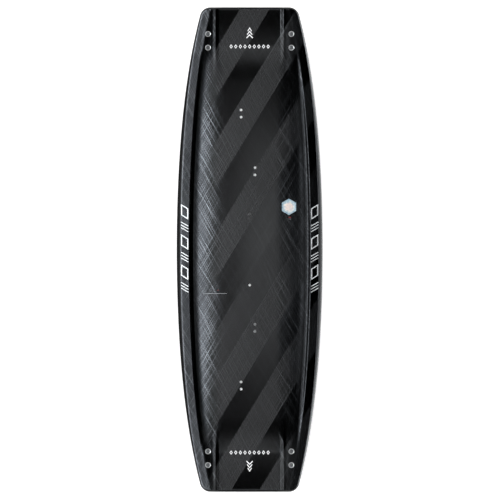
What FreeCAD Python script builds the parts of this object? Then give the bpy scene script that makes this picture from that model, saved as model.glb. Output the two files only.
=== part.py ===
"""A twin-tip kiteboard, deck side up, standing on its four fins.

Millimetres. +X is to the board's right, +Y along its length to the front tip, +Z up out of the deck. The
origin is on the floor under the middle of the board. The board is a sandwich: base laminate, then the wood
core inside a frame of plastic rails, then the deck laminate. The deck and the base are free-form, so these
layers are cut from surfaces worked out by formula. The hardware is PartDesign bodies and Part primitives
bound to the sheet.
"""

import FreeCAD
import Part
import math
import os
import PartDesign
import Sketcher

from FreeCAD import Placement, Rotation, Vector

DRIVING_SIZES = {
    # plan outline
    "board_length": 1360,
    "board_width": 410,
    "side_sweep": 50,
    "tip_sweep": 22,
    "corner_radius": 30,
    # long and cross profile of the base
    "rocker": 40,
    "concave": 2,
    # rails and layers
    "laminate": 0.9,
    "bevel_middle": 10,
    "bevel_tip": 3,
    "bevel_end": 4.8,
    "bevel_foot": 0.9,
    "edge_height": 7,
    "edge_taper": 1,
    "rail_inside": 8,
    "rail_joint": 628,
    # raised ridge along each rail
    "ridge_inset": 34,
    "ridge_taper": 12,
    "facet_slope": 0.1175,
    "ridge_wall": 3.2,
    "ridge_wall_width": 14.5,
    "ridge_foot": 5,
    # crowned inner deck
    "knuckle": 99,
    "shoulder_slope": 0.07,
    "plateau_crown": 1.6,
    # sunk channel at each tip, and the lip beside it
    "channel_depth": 1.6,
    "channel_half_width": 91,
    "channel_wall": 10,
    "channel_bend": 17.5,
    "channel_bend_length": 53,
    "lip_height": 0.9,
    "lip_width": 9,
    # fins
    "fin_offset": 117,
    "fin_station": 587,
    "fin_depth": 48,
    "fin_root_half_length": 52,
    "fin_root_half_thickness": 6.5,
    "fin_tip_half_length": 17,
    "fin_tip_half_thickness": 1.5,
    "fin_screw_spacing": 38.5,
    "fin_block_length": 64,
    "fin_block_width": 24,
    "sleeve_length": 9,
    "sleeve_radius": 3.75,
    # fin screws and cup washers
    "screw_radius": 3,
    "screw_length": 20,
    "screw_point": 0.8,
    "screw_head_radius": 5.8,
    "screw_head_rim": 0.3,
    "socket_flats": 4,
    "socket_depth": 2.3,
    "washer_radius": 8,
    "washer_height": 2.6,
    "washer_rim": 0.6,
    "washer_top_radius": 6.6,
    "washer_bore": 3.4,
    "washer_mouth": 6,
    "hole_clearance": 0.3,
    "running_gap": 0.02,
    # inserts
    "insert_bore": 3.1,
    "insert_barrel": 4.5,
    "insert_collar": 3.6,
    "insert_seat": 0.1,
    "insert_flange": 9,
    "insert_flange_height": 1.5,
    "insert_floor": 1.2,
    "pad_insert_spacing": 20,
    "outer_pair_offset": -24,
    "outer_pair_station": 382,
    "inner_pair_offset": 15,
    "inner_pair_station": 220,
    "handle_spacing": 200,
    "insert_block_length": 46,
    "insert_block_width": 24,
    "handle_block_side": 26,
    "block_corner": 5,
    # foil badge
    "badge_flats": 40,
    "badge_thickness": 0.25,
    "badge_offset": 110.5,
    "badge_station": 120,
}

# Where the ridge's wall and the shoulder have faded away, as shares of the half length
WALL_FADE = 0.83
SHOULDER_FADE = 0.84
# Stations along the board between which the tips' channel and lip rise to their full size
CHANNEL_START = 485
CHANNEL_FULL = 640
CHANNEL_BEND = 550
LIP_START = 470
LIP_FULL = 540

# The share of the shoulder's width over which it curves up from the valley
SHOULDER_CURVE = 0.3
# How much the rail's bevel bulges over a straight slope, as a share of its height
BEVEL_BULGE = 0.35

# Heights and margins of construction shapes that are cut away
DRAW = 120.0
OVERRUN = 12.0

doc = FreeCAD.newDocument("kiteboard")
sheet = doc.addObject("Spreadsheet::Sheet", "dims")
parts = []


def add_size(alias, value):
    """One more row of the sheet: a name, and a plain number that can be read by that name."""
    row = add_size.rows
    add_size.rows += 1
    sheet.set(f"A{row}", alias)
    sheet.set(f"B{row}", f"{value:g}")
    sheet.setAlias(f"B{row}", alias)


add_size.rows = 1
for size_name, size_value in DRIVING_SIZES.items():
    add_size(size_name, size_value)
doc.recompute()


def size(alias):
    return float(sheet.get(alias))


HALF_LENGTH = size("board_length") / 2
HALF_WIDTH = size("board_width") / 2
LAMINATE = size("laminate")


# ---------------------------------------------------------------- shape of the board, by formula


def clamp(value):
    return min(1.0, max(0.0, value))


def smooth(value):
    """A soft step from 0 to 1."""
    value = clamp(value)
    return value * value * (3 - 2 * value)


def ramp(value):
    """A nearly straight step from 0 to 1, a little eased at both ends."""
    return (clamp(value) + smooth(value)) / 2


def reach(y):
    """How far along the half length y lies: 0 in the middle, 1 at either tip."""
    return abs(y) / HALF_LENGTH


def half_width(y):
    return HALF_WIDTH - size("side_sweep") * reach(y) ** 2 - size("tip_sweep") * reach(y) ** 4


def bevel_width(y):
    middle_share = max(0.0, 1 - reach(y) ** 2) ** 1.6
    return size("bevel_tip") + (size("bevel_middle") - size("bevel_tip")) * middle_share


def deck_half_width(y):
    return half_width(y) - bevel_width(y)


def core_half_width(y):
    return deck_half_width(y) - size("rail_inside")


def ridge(y):
    """The ridge's distance from the centre line."""
    return half_width(y) - size("ridge_inset") + size("ridge_taper") * reach(y) ** 2


def edge_height(y):
    """Deck above the base line at the edge of the deck laminate."""
    return size("edge_height") - size("edge_taper") * reach(y) ** 2


def facet(a, y):
    """Height of the outward-sloping facet between the ridge and the rail, at a from the centre line."""
    return edge_height(y) + size("facet_slope") * (deck_half_width(y) - a)


def wall_share(y):
    return max(0.0, 1 - (reach(y) / WALL_FADE) ** 6) ** 1.5


def valley(y):
    """Where the ridge's inner wall meets the inner deck, from the centre line."""
    foot = size("ridge_foot")
    return ridge(y) - foot - (size("ridge_wall_width") - foot) * wall_share(y)


def channel_middle(y):
    """The middle of the channel's side wall, from the centre line; it bends in where the channel ends."""
    bend = max(0.0, CHANNEL_BEND - max(abs(y), CHANNEL_START)) / size("channel_bend_length")
    return size("channel_half_width") - size("channel_bend") * bend**1.8


def inner_deck(a, y):
    """Height of the deck between the ridges, at a from the centre line; outside them it goes on rising."""
    wall_height = size("ridge_wall") * wall_share(y)
    wall_width = ridge(y) - valley(y)
    floor = facet(ridge(y), y) - wall_height
    if a > ridge(y):
        return floor + wall_height * (1 + 2 * (a - ridge(y)) / wall_width)
    if a > valley(y):
        return floor + wall_height * ((a - valley(y)) / wall_width) ** 2
    knuckle = size("knuckle")
    shoulder_share = max(0.0, 1 - (reach(y) / SHOULDER_FADE) ** 10)
    evened = 1 - SHOULDER_CURVE / 2
    shoulder = size("shoulder_slope") * max(0.0, valley(y) - knuckle) * evened * shoulder_share
    crown = size("plateau_crown") * max(0.0, 1 - reach(y) ** 4) * shoulder_share
    lip_share = smooth((abs(y) - LIP_START) / (LIP_FULL - LIP_START))
    lip = size("lip_height") * lip_share * smooth((knuckle - a) / size("lip_width") + 0.5)
    channel_share = smooth((abs(y) - CHANNEL_START) / (CHANNEL_FULL - CHANNEL_START))
    channel = (size("channel_depth") + size("lip_height") * lip_share) * channel_share
    channel *= ramp((channel_middle(y) - a) / size("channel_wall") + 0.5)
    if a > knuckle:
        q = (valley(y) - a) / (valley(y) - knuckle)
        curved = q * q / (2 * SHOULDER_CURVE) if q < SHOULDER_CURVE else q - SHOULDER_CURVE / 2
        return floor + shoulder * curved / evened + lip - channel
    return floor + shoulder + crown * (1 - (a / knuckle) ** 2) + lip - channel


def base_line(y):
    return STAND + size("rocker") * reach(y) ** 2


def base_z(x, y):
    return base_line(y) + size("concave") * (1 - (x / HALF_WIDTH) ** 2) * max(0.0, 1 - reach(y) ** 2)


def deck_z(x, y):
    return base_line(y) + min(inner_deck(abs(x), y), facet(abs(x), y))


# The board stands so high that its tilted fins just touch the floor
FIN_TILT = math.atan(2 * size("rocker") * size("fin_station") / HALF_LENGTH**2)
STAND = 0.0
STAND = (
    size("fin_depth") * math.cos(FIN_TILT)
    + size("fin_tip_half_length") * math.sin(FIN_TILT)
    - base_z(size("fin_offset"), size("fin_station"))
)


# ---------------------------------------------------------------- solids cut by those surfaces


def spread(low, high, count):
    return [low + (high - low) * i / (count - 1) for i in range(count)]


def surface_rows():
    """Stations along the board, closer together where the channels begin."""
    half = spread(0, 440, 12) + spread(465, 600, 10) + [630, 660, HALF_LENGTH + OVERRUN]
    return [-y for y in reversed(half[1:])] + half


def inner_columns(y):
    """Distances from the centre line that follow the channel, knuckle, valley and ridge."""
    middle = channel_middle(y)
    near = [0, 0.3 * middle, 0.6 * middle, middle - 14]
    near += [middle + step for step in (-8, -5, -2, 1, 4, 6)]
    near += [size("knuckle") - 1, size("knuckle") + 2]
    gap = valley(y) - near[-1]
    far = [near[-1] + share * gap for share in (0.25, 0.5, 0.8, 1)]
    wall = ridge(y) - valley(y)
    far += [valley(y) + share * wall for share in (0.25, 0.5, 0.75, 1)]
    return near + far + [ridge(y) + 10, half_width(y) + OVERRUN]


def clamped(count, degree):
    """Even knots for a spline that starts on its first pole and ends on its last."""
    knots = list(range(count - degree + 1))
    return knots, [degree + 1] + [1] * (len(knots) - 2) + [degree + 1]


def face_from(rows, across=3):
    """A smooth face over a net of poles: cubic along the rows, and across them too unless told otherwise."""
    along_knots, along_mults = clamped(len(rows), 3)
    across_knots, across_mults = clamped(len(rows[0]), across)
    surface = Part.BSplineSurface()
    surface.buildFromPolesMultsKnots(
        rows, along_mults, across_mults, along_knots, across_knots, False, False, 3, across
    )
    return surface.toShape()


def inner_face():
    rows = []
    for y in surface_rows():
        half = [Vector(a, y, base_line(y) + inner_deck(a, y)) for a in inner_columns(y)]
        rows.append([Vector(-p.x, p.y, p.z) for p in reversed(half[1:])] + half)
    return face_from(rows)


def facet_face(side):
    """One side's facet, carried on inwards across the whole board, above the inner deck."""
    rows = []
    for y in surface_rows():
        ends = (-half_width(y) - OVERRUN, half_width(y) + OVERRUN)
        rows.append([Vector(side * a, y, base_line(y) + facet(a, y)) for a in ends])
    return face_from(rows, across=1)


def base_face():
    rows = []
    for y in surface_rows():
        half = half_width(y) + OVERRUN
        rows.append([Vector(x, y, base_z(x, y)) for x in spread(-half, half, 9)])
    return face_from(rows)


def corner(side_of, end):
    """Centre of a plan corner, and where its arc meets the side, for a side curve and an end line."""
    radius = size("corner_radius") - (HALF_LENGTH - end)
    y_side = end - radius
    for _ in range(20):
        lean = math.atan(side_of(y_side - 0.5) - side_of(y_side + 0.5))
        y_side = end - radius + radius * math.sin(lean)
    return Vector(side_of(y_side) - radius * math.cos(lean), end - radius, 0), radius, lean, y_side


def outline_prism(side_of, end):
    """A tall prism with the board's plan: curved sides, rounded corners and straight ends."""
    centre, radius, lean, y_side = corner(side_of, end)

    def mirrored(point, sx, sy):
        return Vector(sx * point.x, sy * point.y, 0)

    def arc(sx, sy):
        angles = (lean, (lean + math.pi / 2) / 2, math.pi / 2)
        points = [centre + Vector(radius * math.cos(t), radius * math.sin(t), 0) for t in angles]
        return Part.Arc(*[mirrored(p, sx, sy) for p in points]).toShape()

    def side(sx):
        curve = Part.BSplineCurve()
        curve.interpolate([Vector(sx * side_of(y), y, 0) for y in spread(-y_side, y_side, 15)])
        return curve.toShape()

    def end_line(sy):
        return Part.LineSegment(Vector(-centre.x, sy * end, 0), Vector(centre.x, sy * end, 0)).toShape()

    edges = [side(1), arc(1, 1), end_line(1), arc(-1, 1), side(-1), arc(-1, -1), end_line(-1), arc(1, -1)]
    wire = Part.Wire(Part.__sortEdges__(edges))
    return Part.Face(wire).extrude(Vector(0, 0, DRAW))


def under(face, drop):
    return face.translated(Vector(0, 0, -drop)).extrude(Vector(0, 0, -DRAW))


def below_deck(shape, drop):
    """What is left of a shape under the deck, drawn down by the given amount."""
    for face in DECK_FACES:
        shape = shape.common(under(face, drop))
    return shape


def above_deck(shape, rise):
    """What is left of a shape over the deck, drawn up by the given amount."""
    return shape.cut(below_deck(shape, -rise))


def above_base(shape, rise):
    return shape.common(BASE_FACE.translated(Vector(0, 0, rise)).extrude(Vector(0, 0, DRAW)))


def bevel_tool(side):
    """The waste outside the rail's rounded bevel, down one side of the board and round both its corners."""
    centre, radius, lean, y_side = corner(half_width, HALF_LENGTH)
    quarter = []
    quarter.append((Vector(-OVERRUN, HALF_LENGTH, 0), Vector(0, -1, 0), size("bevel_end")))
    for share in (0.3, 0.6, 0.77, 0.82, 0.86, 0.9, 0.95, 1):
        quarter.append((Vector(share * centre.x, HALF_LENGTH, 0), Vector(0, -1, 0), size("bevel_end")))
    for share in spread(0, 1, 13)[1:-1]:
        turn = math.pi / 2 + (lean - math.pi / 2) * share
        inward = Vector(-math.cos(turn), -math.sin(turn), 0)
        width = size("bevel_end") + (bevel_width(y_side) - size("bevel_end")) * share
        quarter.append((centre - inward * radius, inward, width))
    for y in [y_side] + spread(600, 0, 13):
        turn = math.atan(half_width(y - 0.5) - half_width(y + 0.5))
        inward = Vector(-math.cos(turn), -math.sin(turn), 0)
        quarter.append((Vector(half_width(y), y, 0), inward, bevel_width(y)))
    lower = [(Vector(p.x, -p.y, 0), Vector(n.x, -n.y, 0), width) for p, n, width in reversed(quarter[:-1])]
    rows = []
    for point, inward, width in quarter + lower:
        top_point = point + inward * width
        top = deck_z(top_point.x, top_point.y) - LAMINATE
        foot = base_z(point.x, point.y) + LAMINATE + size("bevel_foot")
        row = []
        for share in (-0.5, 0, 0.25, 0.5, 0.75, 1, 1.4):
            place = point + inward * (width * share)
            height = foot + (top - foot) * (share + BEVEL_BULGE * share * (1 - abs(share)))
            row.append(Vector(side * place.x, place.y, height))
        rows.append(row)
    return face_from(rows).extrude(Vector(0, 0, DRAW / 2))


def solid_of(shape):
    """The one solid in a boolean's result."""
    solids = shape.Solids
    if len(solids) != 1:
        raise RuntimeError(f"{len(solids)} solids where one was due")
    return solids[0]


# ---------------------------------------------------------------- document objects


def add_feature(label, shape):
    feature = doc.addObject("Part::Feature", label)
    feature.Label = label
    feature.Shape = shape
    parts.append(feature)
    return feature


def new_body(label):
    body = doc.addObject("PartDesign::Body", label)
    body.Label = label
    parts.append(body)
    return body


def total(words):
    """The value of a sum of sheet names and numbers, such as 'washer_height - screw_head_rim'."""
    value = 0.0
    sign = 1
    for word in words.split():
        if word in ("+", "-"):
            sign = 1 if word == "+" else -1
        elif word.isidentifier():
            value += sign * size(word)
        else:
            value += sign * float(word)
    return value


def linked(words):
    """The same sum as an expression on the sheet."""
    return " ".join("dims." + word if word.isidentifier() else word for word in words.split())


def revolve(body, vertices):
    """A turned solid: the section's corners are (radius, height) sums bound to the sheet, axis up."""
    sketch = body.newObject("Sketcher::SketchObject", "section")
    plane = [f for f in body.Origin.OriginFeatures if f.Role == "XZ_Plane"][0]
    sketch.AttachmentSupport = [(plane, "")]
    sketch.MapMode = "FlatFace"
    places = [Vector(total(radius), total(height), 0) for radius, height in vertices]
    count = len(places)
    for i in range(count):
        sketch.addGeometry(Part.LineSegment(places[i], places[(i + 1) % count]))
    for i in range(count):
        sketch.addConstraint(Sketcher.Constraint("Coincident", i, 2, (i + 1) % count, 1))
    for i, (radius, height) in enumerate(vertices):
        for kind, words, value, axis in (
            ("DistanceX", radius, places[i].x, -2),
            ("DistanceY", height, places[i].y, -1),
        ):
            if words == "0":
                sketch.addConstraint(Sketcher.Constraint("PointOnObject", i, 1, axis))
                continue
            index = sketch.addConstraint(Sketcher.Constraint(kind, -1, 1, i, 1, value))
            sketch.setExpression(f"Constraints[{index}]", linked(words))
    turn = body.newObject("PartDesign::Revolution", "turned")
    turn.Profile = sketch
    turn.ReferenceAxis = (sketch, ["V_Axis"])
    turn.Angle = 360
    return turn


def cylinder(radius, low, high):
    return Part.makeCylinder(radius, high - low, Vector(0, 0, low))


def block_prism(length, width):
    """A tall block with rounded corners, centred on the origin in plan."""
    block = Part.makeBox(width, length, DRAW, Vector(-width / 2, -length / 2, -DRAW / 2))
    upright = [e for e in block.Edges if abs(e.tangentAt(e.FirstParameter).z) > 0.9]
    return block.makeFillet(size("block_corner"), upright)


def on_deck(frame, y):
    """Height of the deck over a fin's own base plane, at y along that fin."""
    height = 8.0
    for _ in range(6):
        point = frame.multVec(Vector(0, y, height))
        height += deck_z(point.x, point.y) - point.z
    return height


ENDS = {"front": 1, "rear": -1}
SIDES = {"left": -1, "right": 1}


def fin_frames():
    """Where each fin's foot meets the base, tilted to lie flat on it."""
    frames = {}
    for end, sy in ENDS.items():
        for side, sx in SIDES.items():
            x = sx * size("fin_offset")
            y = sy * size("fin_station")
            tilt = Rotation(Vector(1, 0, 0), math.degrees(sy * FIN_TILT))
            frames[f"{end}_{side}"] = Placement(Vector(x, y, base_z(x, y)), tilt)
    return frames


def screw_places():
    """Each fin screw's name, its fin's frame and its station along the fin."""
    half = size("fin_screw_spacing") / 2
    places = []
    for name, frame in FIN_FRAMES.items():
        outward = 1 if frame.Base.y > 0 else -1
        places.append((f"{name}_outer", frame, outward * half))
        places.append((f"{name}_inner", frame, -outward * half))
    return places


def insert_places():
    """Each insert's name and place in plan."""
    half = size("pad_insert_spacing") / 2
    places = []
    for end, sy in ENDS.items():
        for ring in ("outer", "inner"):
            x = size(f"{ring}_pair_offset")
            station = size(f"{ring}_pair_station")
            places.append((f"pad_insert_{end}_{ring}_a", x, sy * (station + half)))
            places.append((f"pad_insert_{end}_{ring}_b", x, sy * (station - half)))
    for end, sy in ENDS.items():
        places.append((f"handle_insert_{end}", 0.0, sy * size("handle_spacing") / 2))
    return places


def insert_span(x, y):
    """Lowest and highest level of an upright insert that stays inside the board's skin."""
    flange = size("insert_flange")
    barrel = size("insert_barrel")
    low = max(base_z(x, y - flange), base_z(x, y + flange)) + LAMINATE
    high = min(deck_z(x, y - barrel), deck_z(x, y + barrel))
    return low, high


# ---------------------------------------------------------------- the board's layers

DECK_FACES = [inner_face(), facet_face(-1), facet_face(1)]
BASE_FACE = base_face()
FIN_FRAMES = fin_frames()
BEVEL_END = size("bevel_end")


def screw_holes(radius):
    """Tools for the holes that all the fin screws pass through."""
    holes = []
    for _, frame, y in screw_places():
        hole = cylinder(radius, -10, 30)
        hole.Placement = frame.multiply(Placement(Vector(0, y, 0), Rotation()))
        holes.append(hole)
    return holes


def insert_holes(gap):
    """Tools for the inserts' barrels and for their flanges below."""
    holes = []
    for _, x, y in insert_places():
        low, high = insert_span(x, y)
        barrel = cylinder(size("insert_barrel") + gap, low - 5, high + 5)
        flange = cylinder(size("insert_flange") + gap, low - 5, low + size("insert_flange_height") + gap)
        pair = barrel.fuse(flange)
        pair.translate(Vector(x, y, 0))
        holes.append(pair)
    return holes


def collar_holes(gap):
    return [
        Part.makeCylinder(size("insert_collar") + gap, DRAW, Vector(x, y, 0)) for _, x, y in insert_places()
    ]


def block_tools():
    """Tall prisms for every hard block let into the core, by node name."""
    tools = {}
    fin_prism = block_prism(size("fin_block_length"), size("fin_block_width"))
    for name, frame in FIN_FRAMES.items():
        tools[f"fin_block_{name}"] = fin_prism.translated(frame.Base)
    pair_prism = block_prism(size("insert_block_length"), size("insert_block_width"))
    for end, sy in ENDS.items():
        for ring in ("outer", "inner"):
            place = Vector(size(f"{ring}_pair_offset"), sy * size(f"{ring}_pair_station"), DRAW / 2)
            tools[f"insert_block_{end}_{ring}"] = pair_prism.translated(place)
    handle_prism = block_prism(size("handle_block_side"), size("handle_block_side"))
    for end, sy in ENDS.items():
        place = Vector(0, sy * size("handle_spacing") / 2, DRAW / 2)
        tools[f"handle_block_{end}"] = handle_prism.translated(place)
    return tools


def build_layers():
    """The deck and base laminates, the core with its blocks, and the four rails round it."""
    whole = outline_prism(half_width, HALF_LENGTH)
    deck_plan = outline_prism(deck_half_width, HALF_LENGTH - BEVEL_END)
    core_plan = outline_prism(core_half_width, HALF_LENGTH - BEVEL_END - size("rail_inside"))
    gap = size("running_gap")
    through = screw_holes(size("screw_radius") + size("hole_clearance"))

    skin = below_deck(deck_plan, 0)
    skin = skin.cut(below_deck(deck_plan, LAMINATE))
    add_feature("deck_laminate", solid_of(skin.cut(through + collar_holes(gap))))

    skin = above_base(whole, 0)
    skin = skin.cut(above_base(whole, LAMINATE))
    add_feature("base_laminate", solid_of(skin.cut(through)))

    middle = above_base(below_deck(whole, LAMINATE), LAMINATE)
    tools = block_tools()
    core = middle.common(core_plan).cut(list(tools.values()))
    add_feature("wood_core", solid_of(core))

    holes = insert_holes(gap)
    for label, tool in tools.items():
        block = middle.common(tool)
        near = [h for h in through + holes if h.BoundBox.intersect(block.BoundBox)]
        add_feature(label, solid_of(block.cut(near)))

    ring = middle.cut(core_plan).cut([bevel_tool(1), bevel_tool(-1)])
    joint = size("rail_joint")
    for side, sx in SIDES.items():
        box = Part.makeBox(HALF_WIDTH + 1, 2 * joint, DRAW, Vector(min(0, sx * (HALF_WIDTH + 1)), -joint, 0))
        add_feature(f"rail_{side}", solid_of(ring.common(box)))
    for end, sy in ENDS.items():
        low = joint if sy > 0 else -HALF_LENGTH - 1
        box = Part.makeBox(2 * HALF_WIDTH, HALF_LENGTH + 1 - joint, DRAW, Vector(-HALF_WIDTH, low, 0))
        add_feature(f"tip_rail_{end}", solid_of(ring.common(box)))


# ---------------------------------------------------------------- fins and their fasteners


def build_fin(name, frame):
    """A symmetrical foil: ellipses that shrink from foot to tip, with two blind holes for the sleeves."""
    sections = []
    half_lengths = ("fin_root_half_length", "fin_tip_half_length")
    half_thicknesses = ("fin_root_half_thickness", "fin_tip_half_thickness")
    for depth_share, tip_share in ((0, 0), (0.2, 0.1), (0.55, 0.43), (0.83, 0.74), (1, 1)):
        ellipse = doc.addObject("Part::Ellipse", f"{name}_section")
        root, tip = (f"dims.{alias}" for alias in half_lengths)
        ellipse.setExpression("MajorRadius", f"{root} + ({tip} - {root}) * {tip_share}")
        root, tip = (f"dims.{alias}" for alias in half_thicknesses)
        ellipse.setExpression("MinorRadius", f"{root} + ({tip} - {root}) * {tip_share}")
        along = Placement(Vector(0, 0, -depth_share * size("fin_depth")), Rotation(Vector(0, 0, 1), 90))
        ellipse.Placement = frame.multiply(along)
        sections.append(ellipse)
    blade = doc.addObject("Part::Loft", f"{name}_blade")
    blade.Sections = sections
    blade.Solid = True
    blade.Ruled = False
    holes = []
    for _, screw_frame, y in SCREWS:
        if screw_frame is not frame:
            continue
        hole = doc.addObject("Part::Cylinder", f"{name}_hole")
        hole.setExpression("Radius", "dims.sleeve_radius + dims.running_gap")
        hole.setExpression("Height", "dims.sleeve_length + 1")
        low = -size("sleeve_length") - 0.5
        hole.Placement = frame.multiply(Placement(Vector(0, y, low), Rotation()))
        holes.append(hole)
    both = doc.addObject("Part::MultiFuse", f"{name}_holes")
    both.Shapes = holes
    fin = doc.addObject("Part::Cut", f"fin_{name}")
    fin.Base = blade
    fin.Tool = both
    fin.Label = f"fin_{name}"
    parts.append(fin)


def build_sleeve(name, frame, y):
    """The threaded sleeve in the fin's foot; its thread is a plain bore that clears the screw."""
    body = new_body(f"fin_sleeve_{name}")
    bore = "screw_radius + running_gap"
    revolve(
        body,
        (
            (bore, "0"),
            ("sleeve_radius", "0"),
            ("sleeve_radius", "sleeve_length"),
            (bore, "sleeve_length"),
        ),
    )
    low = -size("sleeve_length") - size("running_gap")
    body.Placement = frame.multiply(Placement(Vector(0, y, low), Rotation()))


def build_washer(name, frame, y):
    """A finishing cup washer: a domed ring with a conical seat for the screw's head."""
    body = new_body(f"fin_washer_{name}")
    revolve(
        body,
        (
            ("washer_bore", "0"),
            ("washer_radius", "0"),
            ("washer_radius", "washer_rim"),
            ("washer_top_radius", "washer_height"),
            ("washer_mouth", "washer_height"),
        ),
    )
    lift = on_deck(frame, y) + 2 * size("running_gap")
    body.Placement = frame.multiply(Placement(Vector(0, y, lift), Rotation()))


def build_screw(name, frame, y):
    """A countersunk screw with a hexagon socket, its origin at the top of the head."""
    body = new_body(f"fin_screw_{name}")
    revolve(
        body,
        (
            ("0", "0"),
            ("screw_head_radius", "0"),
            ("screw_head_radius", "0 - screw_head_rim"),
            ("screw_radius", "screw_radius - screw_head_radius - screw_head_rim"),
            ("screw_radius", "screw_point - screw_length"),
            ("screw_radius - screw_point", "0 - screw_length"),
            ("0", "0 - screw_length"),
        ),
    )
    socket = body.newObject("PartDesign::SubtractivePrism", "socket")
    socket.Polygon = 6
    socket.setExpression("Circumradius", "dims.socket_flats / sqrt(3)")
    socket.setExpression("Height", "dims.socket_depth + 1")
    plane = [f for f in body.Origin.OriginFeatures if f.Role == "XY_Plane"][0]
    socket.AttachmentSupport = [(plane, "")]
    socket.MapMode = "FlatFace"
    socket.AttachmentOffset = Placement(Vector(0, 0, -size("socket_depth")), Rotation())
    top = on_deck(frame, y) + size("washer_height") + size("screw_head_rim")
    body.Placement = frame.multiply(Placement(Vector(0, y, top), Rotation()))


def build_insert(label, x, y):
    """An upright blind insert: flange, barrel up to the skin and collar through it; its bore is plain."""
    low, high = insert_span(x, y)
    alias = f"{label}_height"
    shoulder = f"{label}_shoulder"
    add_size(alias, round(high - low, 3))
    add_size(shoulder, round(high - low - LAMINATE - size("insert_seat"), 3))
    doc.recompute()
    body = new_body(label)
    revolve(
        body,
        (
            ("0", "0"),
            ("insert_flange", "0"),
            ("insert_flange", "insert_flange_height"),
            ("insert_barrel", "insert_flange_height"),
            ("insert_barrel", shoulder),
            ("insert_collar", shoulder),
            ("insert_collar", alias),
            ("insert_bore", alias),
            ("insert_bore", "insert_floor"),
            ("0", "insert_floor"),
        ),
    )
    body.Placement = Placement(Vector(x, y, low), Rotation())


def build_badge():
    """A hexagon of foil that follows the deck."""
    hexagon = doc.addObject("Part::Prism", "badge_blank")
    hexagon.Polygon = 6
    hexagon.setExpression("Circumradius", "dims.badge_flats / sqrt(3)")
    hexagon.Height = DRAW
    place = Vector(size("badge_offset"), size("badge_station"), 0)
    hexagon.Placement = Placement(place, Rotation(Vector(0, 0, 1), 90))
    doc.recompute()
    blank = hexagon.Shape.copy()
    foil = above_deck(below_deck(blank, -size("badge_thickness")), 0)
    add_feature("hex_badge", solid_of(foil))


SCREWS = screw_places()
build_layers()
for fin_name, fin_frame in FIN_FRAMES.items():
    build_fin(fin_name, fin_frame)
for screw_name, screw_frame, screw_y in SCREWS:
    build_sleeve(screw_name, screw_frame, screw_y)
    build_washer(screw_name, screw_frame, screw_y)
    build_screw(screw_name, screw_frame, screw_y)
for insert_label, insert_x, insert_y in insert_places():
    build_insert(insert_label, insert_x, insert_y)
build_badge()
doc.recompute()

for item in doc.Objects:
    if "Invalid" in item.State or "Error" in item.State:
        raise RuntimeError(f"{item.Label} did not recompute: {item.State}")
os.makedirs("parts", exist_ok=True)
for part in parts:
    if part.Shape.isNull() or not part.Shape.isValid():
        raise RuntimeError(f"{part.Label} has no valid shape")
    part.Shape.exportStep(f"parts/{part.Label}.step")
    box = part.Shape.optimalBoundingBox(False, False)
    volume = part.Shape.Volume / 1000
    print(f"{part.Label:34s} {volume:9.3f} cm3  z {box.ZMin:7.2f} to {box.ZMax:7.2f}")
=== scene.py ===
"""Looks of the twin-tip kiteboard: skins, rails, fins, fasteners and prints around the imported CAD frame.

Shapes are in millimetres, by the same formulas as the CAD source, and become metres as the meshes are made.
Materials, lights and the camera are in metres.
"""

from math import atan, ceil, cos, dist, pi, radians, sin, sqrt

import bmesh
import bpy
import numpy as np
from mathutils import Matrix, Vector


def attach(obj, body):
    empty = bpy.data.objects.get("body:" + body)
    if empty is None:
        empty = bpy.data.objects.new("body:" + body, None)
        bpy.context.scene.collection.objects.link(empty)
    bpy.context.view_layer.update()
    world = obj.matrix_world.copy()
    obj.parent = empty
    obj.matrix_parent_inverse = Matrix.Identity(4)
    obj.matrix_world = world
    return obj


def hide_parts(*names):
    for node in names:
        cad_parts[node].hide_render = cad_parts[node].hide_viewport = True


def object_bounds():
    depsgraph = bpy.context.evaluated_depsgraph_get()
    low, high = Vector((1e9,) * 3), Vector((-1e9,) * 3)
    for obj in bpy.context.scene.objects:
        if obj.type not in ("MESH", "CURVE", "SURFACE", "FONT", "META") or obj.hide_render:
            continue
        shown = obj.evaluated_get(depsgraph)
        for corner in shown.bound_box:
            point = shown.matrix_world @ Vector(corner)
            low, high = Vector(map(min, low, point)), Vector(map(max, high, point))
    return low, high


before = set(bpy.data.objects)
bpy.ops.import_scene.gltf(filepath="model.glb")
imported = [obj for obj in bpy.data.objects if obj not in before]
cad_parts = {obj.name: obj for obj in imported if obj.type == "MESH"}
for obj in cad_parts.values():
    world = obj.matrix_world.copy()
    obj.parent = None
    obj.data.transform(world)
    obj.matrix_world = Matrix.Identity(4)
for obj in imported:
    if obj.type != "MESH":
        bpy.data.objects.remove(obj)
CAD_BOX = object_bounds()
MM = 0.001

# ---------------- sizes (mm)

# outline, long profile and skins
HALF_WIDTH, HALF_LENGTH = (round(size / MM, 2) for size in CAD_BOX[1][:2])
SIDE_SWEEP = 50
TIP_SWEEP = 22
CORNER_RADIUS = 30
ROCKER = 40
CONCAVE = 2
LAMINATE = 0.9
# rails
BEVEL_MIDDLE = 10
BEVEL_TIP = 3
BEVEL_END = 4.8
BEVEL_FOOT = 0.9
EDGE_HEIGHT = 7
EDGE_TAPER = 1
RAIL_INSIDE = 8
RAIL_JOINT = 628
# ridges: their line, outer facets and inner walls
RIDGE_INSET = 34
RIDGE_TAPER = 12
RIDGE_ROUNDING = 0.8
FACET_SLOPE = 0.1175
WALL_HEIGHT = 3.2
WALL_WIDTH = 14.5
WALL_FOOT = 5
WALL_FADE = 0.83
# crowned inner deck
KNUCKLE = 99
SHOULDER_SLOPE = 0.07
SHOULDER_CURVE = 0.3
SHOULDER_FADE = 0.84
CROWN = 1.6
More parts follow.
